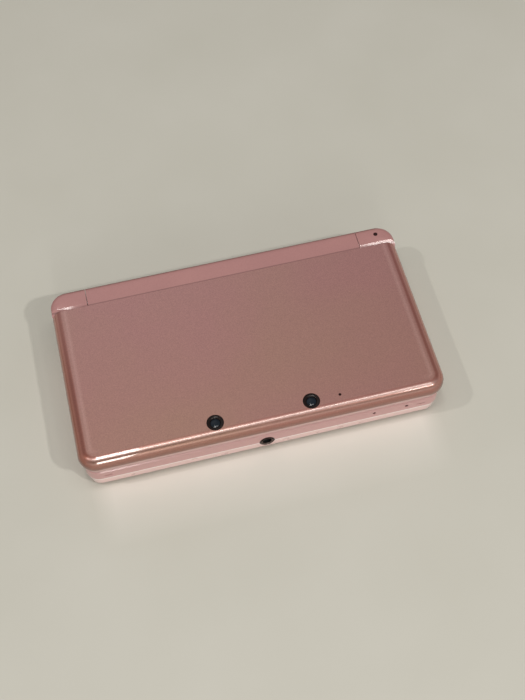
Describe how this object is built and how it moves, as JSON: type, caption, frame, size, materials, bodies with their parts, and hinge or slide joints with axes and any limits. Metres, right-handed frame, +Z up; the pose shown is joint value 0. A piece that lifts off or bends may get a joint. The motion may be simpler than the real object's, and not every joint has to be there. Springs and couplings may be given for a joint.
{
  "type": "clamshell handheld game console",
  "caption": "Clamshell handheld game console, closed: glossy lid with twin outer cameras, hinged to a base with buttons, circle pad, touch screen and stylus.",
  "frame": {"origin": "middle of the footprint, on the surface that the feet stand on", "axes": "+X along the hinge to the user's right, +Y towards the hinge, +Z up through the closed lid"},
  "size_m": [0.134, 0.074, 0.021],
  "materials": {
    "pearl_cover": "pearl lacquer, fine metallic flake",
    "blush_plastic": "satin, fine moulded texture",
    "pale_plastic": "satin to gloss",
    "black_gloss": "polished",
    "lens_glass": "coated lens",
    "display_glass": "touch panel film",
    "display": "unlit panel",
    "key_grey": "satin",
    "pad_grey": "soft-touch",
    "soft_rubber": "matte",
    "key_sheet": "silicone",
    "steel": "plated",
    "black_plastic": "fine moulded texture",
    "circuit_board": "solder mask",
    "battery_wrap": "film-wrapped",
    "contact_gold": "gold plated",
    "dark_red_lens": "unlit clear lens",
    "ribbon": "polyimide film"
  },
  "bodies": {
    "base": {"base_face": "blush_plastic", "base_tub": "pale_plastic", "rear_panel": "pale_plastic", "inner_frame": "black_plastic", "bottom_cover": "pale_plastic", "rubber_feet": "soft_rubber", "cover_screws": "steel", "base_screws": "steel", "main_board": "circuit_board", "battery": "battery_wrap", "touch_panel": "display_glass", "lower_lcd": "display", "wireless_module": "circuit_board", "microphone": "steel", "circle_pad_base": "black_plastic", "key_membranes": "key_sheet", "shoulder_pins": "steel", "sd_socket": "steel", "headphone_jack": "black_plastic", "charging_socket": "black_plastic", "cradle_contacts": "contact_gold", "card_slot": "steel", "infrared_window": "black_gloss", "indicator_lights": "dark_red_lens", "hinge_shaft": "steel", "hinge_tube": "steel"},
    "lid": {"lid_cover": "pearl_cover", "lid_frame": "blush_plastic", "upper_window": "black_gloss", "upper_lcd": "display", "camera_windows": "black_gloss", "camera_barrels": "lens_glass", "camera_bracket": "steel", "camera_light": "dark_red_lens", "inner_camera": "black_plastic", "speakers": "black_plastic", "lid_bumpers": "soft_rubber", "lid_screws": "steel", "hinge_clutch": "steel", "display_ribbon": "ribbon"},
    "depth_slider": {"depth_slider": "pale_plastic"},
    "circle_carriage": {"circle_carriage": "steel"},
    "circle_pad": {"circle_pad": "pad_grey"},
    "d_pad_pivot": {"d_pad_pivot": "steel"},
    "d_pad": {"d_pad": "key_grey"},
    "button_right": {"button_right": "key_grey"},
    "button_bottom": {"button_bottom": "key_grey"},
    "button_top": {"button_top": "key_grey"},
    "button_left": {"button_left": "key_grey"},
    "select_button": {"select_button": "key_grey"},
    "home_button": {"home_button": "key_grey"},
    "start_button": {"start_button": "key_grey"},
    "power_button": {"power_button": "key_grey"},
    "volume_slider": {"volume_slider": "pale_plastic"},
    "wireless_switch": {"wireless_switch": "pale_plastic"},
    "shoulder_left": {"shoulder_left": "key_grey"},
    "shoulder_right": {"shoulder_right": "key_grey"},
    "stylus_tip": {"stylus_tip": "steel"},
    "stylus_barrel": {"stylus_barrel": "black_plastic"},
    "sd_door": {"sd_door": "pale_plastic"}
  },
  "joints": [
    {"name": "lid_hinge", "type": "hinge", "parent": "base", "child": "lid", "pos_m": [0, 0.0326, 0.0164], "axis": [-1, 0, 0], "range_deg": [0, 155]},
    {"name": "depth_slide", "type": "slide", "parent": "lid", "child": "depth_slider", "axis": [0, 1, 0], "range_m": [0, 0.007]},
    {"name": "circle_pad_sideways", "type": "slide", "parent": "base", "child": "circle_carriage", "axis": [1, 0, 0], "range_m": [-0.0022, 0.0022], "stiffness_N_per_m": 120},
    {"name": "circle_pad_lengthways", "type": "slide", "parent": "circle_carriage", "child": "circle_pad", "axis": [0, 1, 0], "range_m": [-0.0022, 0.0022], "stiffness_N_per_m": 120},
    {"name": "d_pad_tilt_lengthways", "type": "hinge", "parent": "base", "child": "d_pad_pivot", "pos_m": [-0.05, -0.0155, 0.0093], "axis": [1, 0, 0], "range_deg": [-3.5, 3.5], "stiffness_Nm_per_rad": 0.3},
    {"name": "d_pad_tilt_sideways", "type": "hinge", "parent": "d_pad_pivot", "child": "d_pad", "pos_m": [-0.05, -0.0155, 0.0093], "axis": [0, 1, 0], "range_deg": [-3.5, 3.5], "stiffness_Nm_per_rad": 0.3},
    {"name": "button_right_press", "type": "slide", "parent": "base", "child": "button_right", "axis": [0, 0, -1], "range_m": [0, 0.00045], "stiffness_N_per_m": 400},
    {"name": "button_bottom_press", "type": "slide", "parent": "base", "child": "button_bottom", "axis": [0, 0, -1], "range_m": [0, 0.00045], "stiffness_N_per_m": 400},
    {"name": "button_top_press", "type": "slide", "parent": "base", "child": "button_top", "axis": [0, 0, -1], "range_m": [0, 0.00045], "stiffness_N_per_m": 400},
    {"name": "button_left_press", "type": "slide", "parent": "base", "child": "button_left", "axis": [0, 0, -1], "range_m": [0, 0.00045], "stiffness_N_per_m": 400},
    {"name": "select_press", "type": "slide", "parent": "base", "child": "select_button", "axis": [0, 0, -1], "range_m": [0, 0.0003], "stiffness_N_per_m": 500},
    {"name": "home_press", "type": "slide", "parent": "base", "child": "home_button", "axis": [0, 0, -1], "range_m": [0, 0.0003], "stiffness_N_per_m": 500},
    {"name": "start_press", "type": "slide", "parent": "base", "child": "start_button", "axis": [0, 0, -1], "range_m": [0, 0.0003], "stiffness_N_per_m": 500},
    {"name": "power_press", "type": "slide", "parent": "base", "child": "power_button", "axis": [0, 0, -1], "range_m": [0, 0.0004], "stiffness_N_per_m": 500},
    {"name": "volume_slide", "type": "slide", "parent": "base", "child": "volume_slider", "axis": [0, 1, 0], "range_m": [-0.004, 0.004]},
    {"name": "wireless_slide", "type": "slide", "parent": "base", "child": "wireless_switch", "axis": [0, 1, 0], "range_m": [0, 0.0025], "stiffness_N_per_m": 200},
    {"name": "shoulder_left_press", "type": "hinge", "parent": "base", "child": "shoulder_left", "pos_m": [-0.0448, 0.03425, 0.0056], "axis": [0, 0, 1], "range_deg": [0, 5], "stiffness_Nm_per_rad": 0.3},
    {"name": "shoulder_right_press", "type": "hinge", "parent": "base", "child": "shoulder_right", "pos_m": [0.0448, 0.03425, 0.0056], "axis": [0, 0, -1], "range_deg": [0, 5], "stiffness_Nm_per_rad": 0.3},
    {"name": "stylus_pull", "type": "slide", "parent": "base", "child": "stylus_tip", "axis": [0, 1, 0], "range_m": [0, 0.059]},
    {"name": "stylus_extend", "type": "slide", "parent": "stylus_tip", "child": "stylus_barrel", "axis": [0, 1, 0], "range_m": [0, 0.038]},
    {"name": "sd_door_hinge", "type": "hinge", "parent": "base", "child": "sd_door", "pos_m": [-0.0646, -0.013, 0.0035], "axis": [0, -1, 0], "range_deg": [0, 90]}
  ]
}
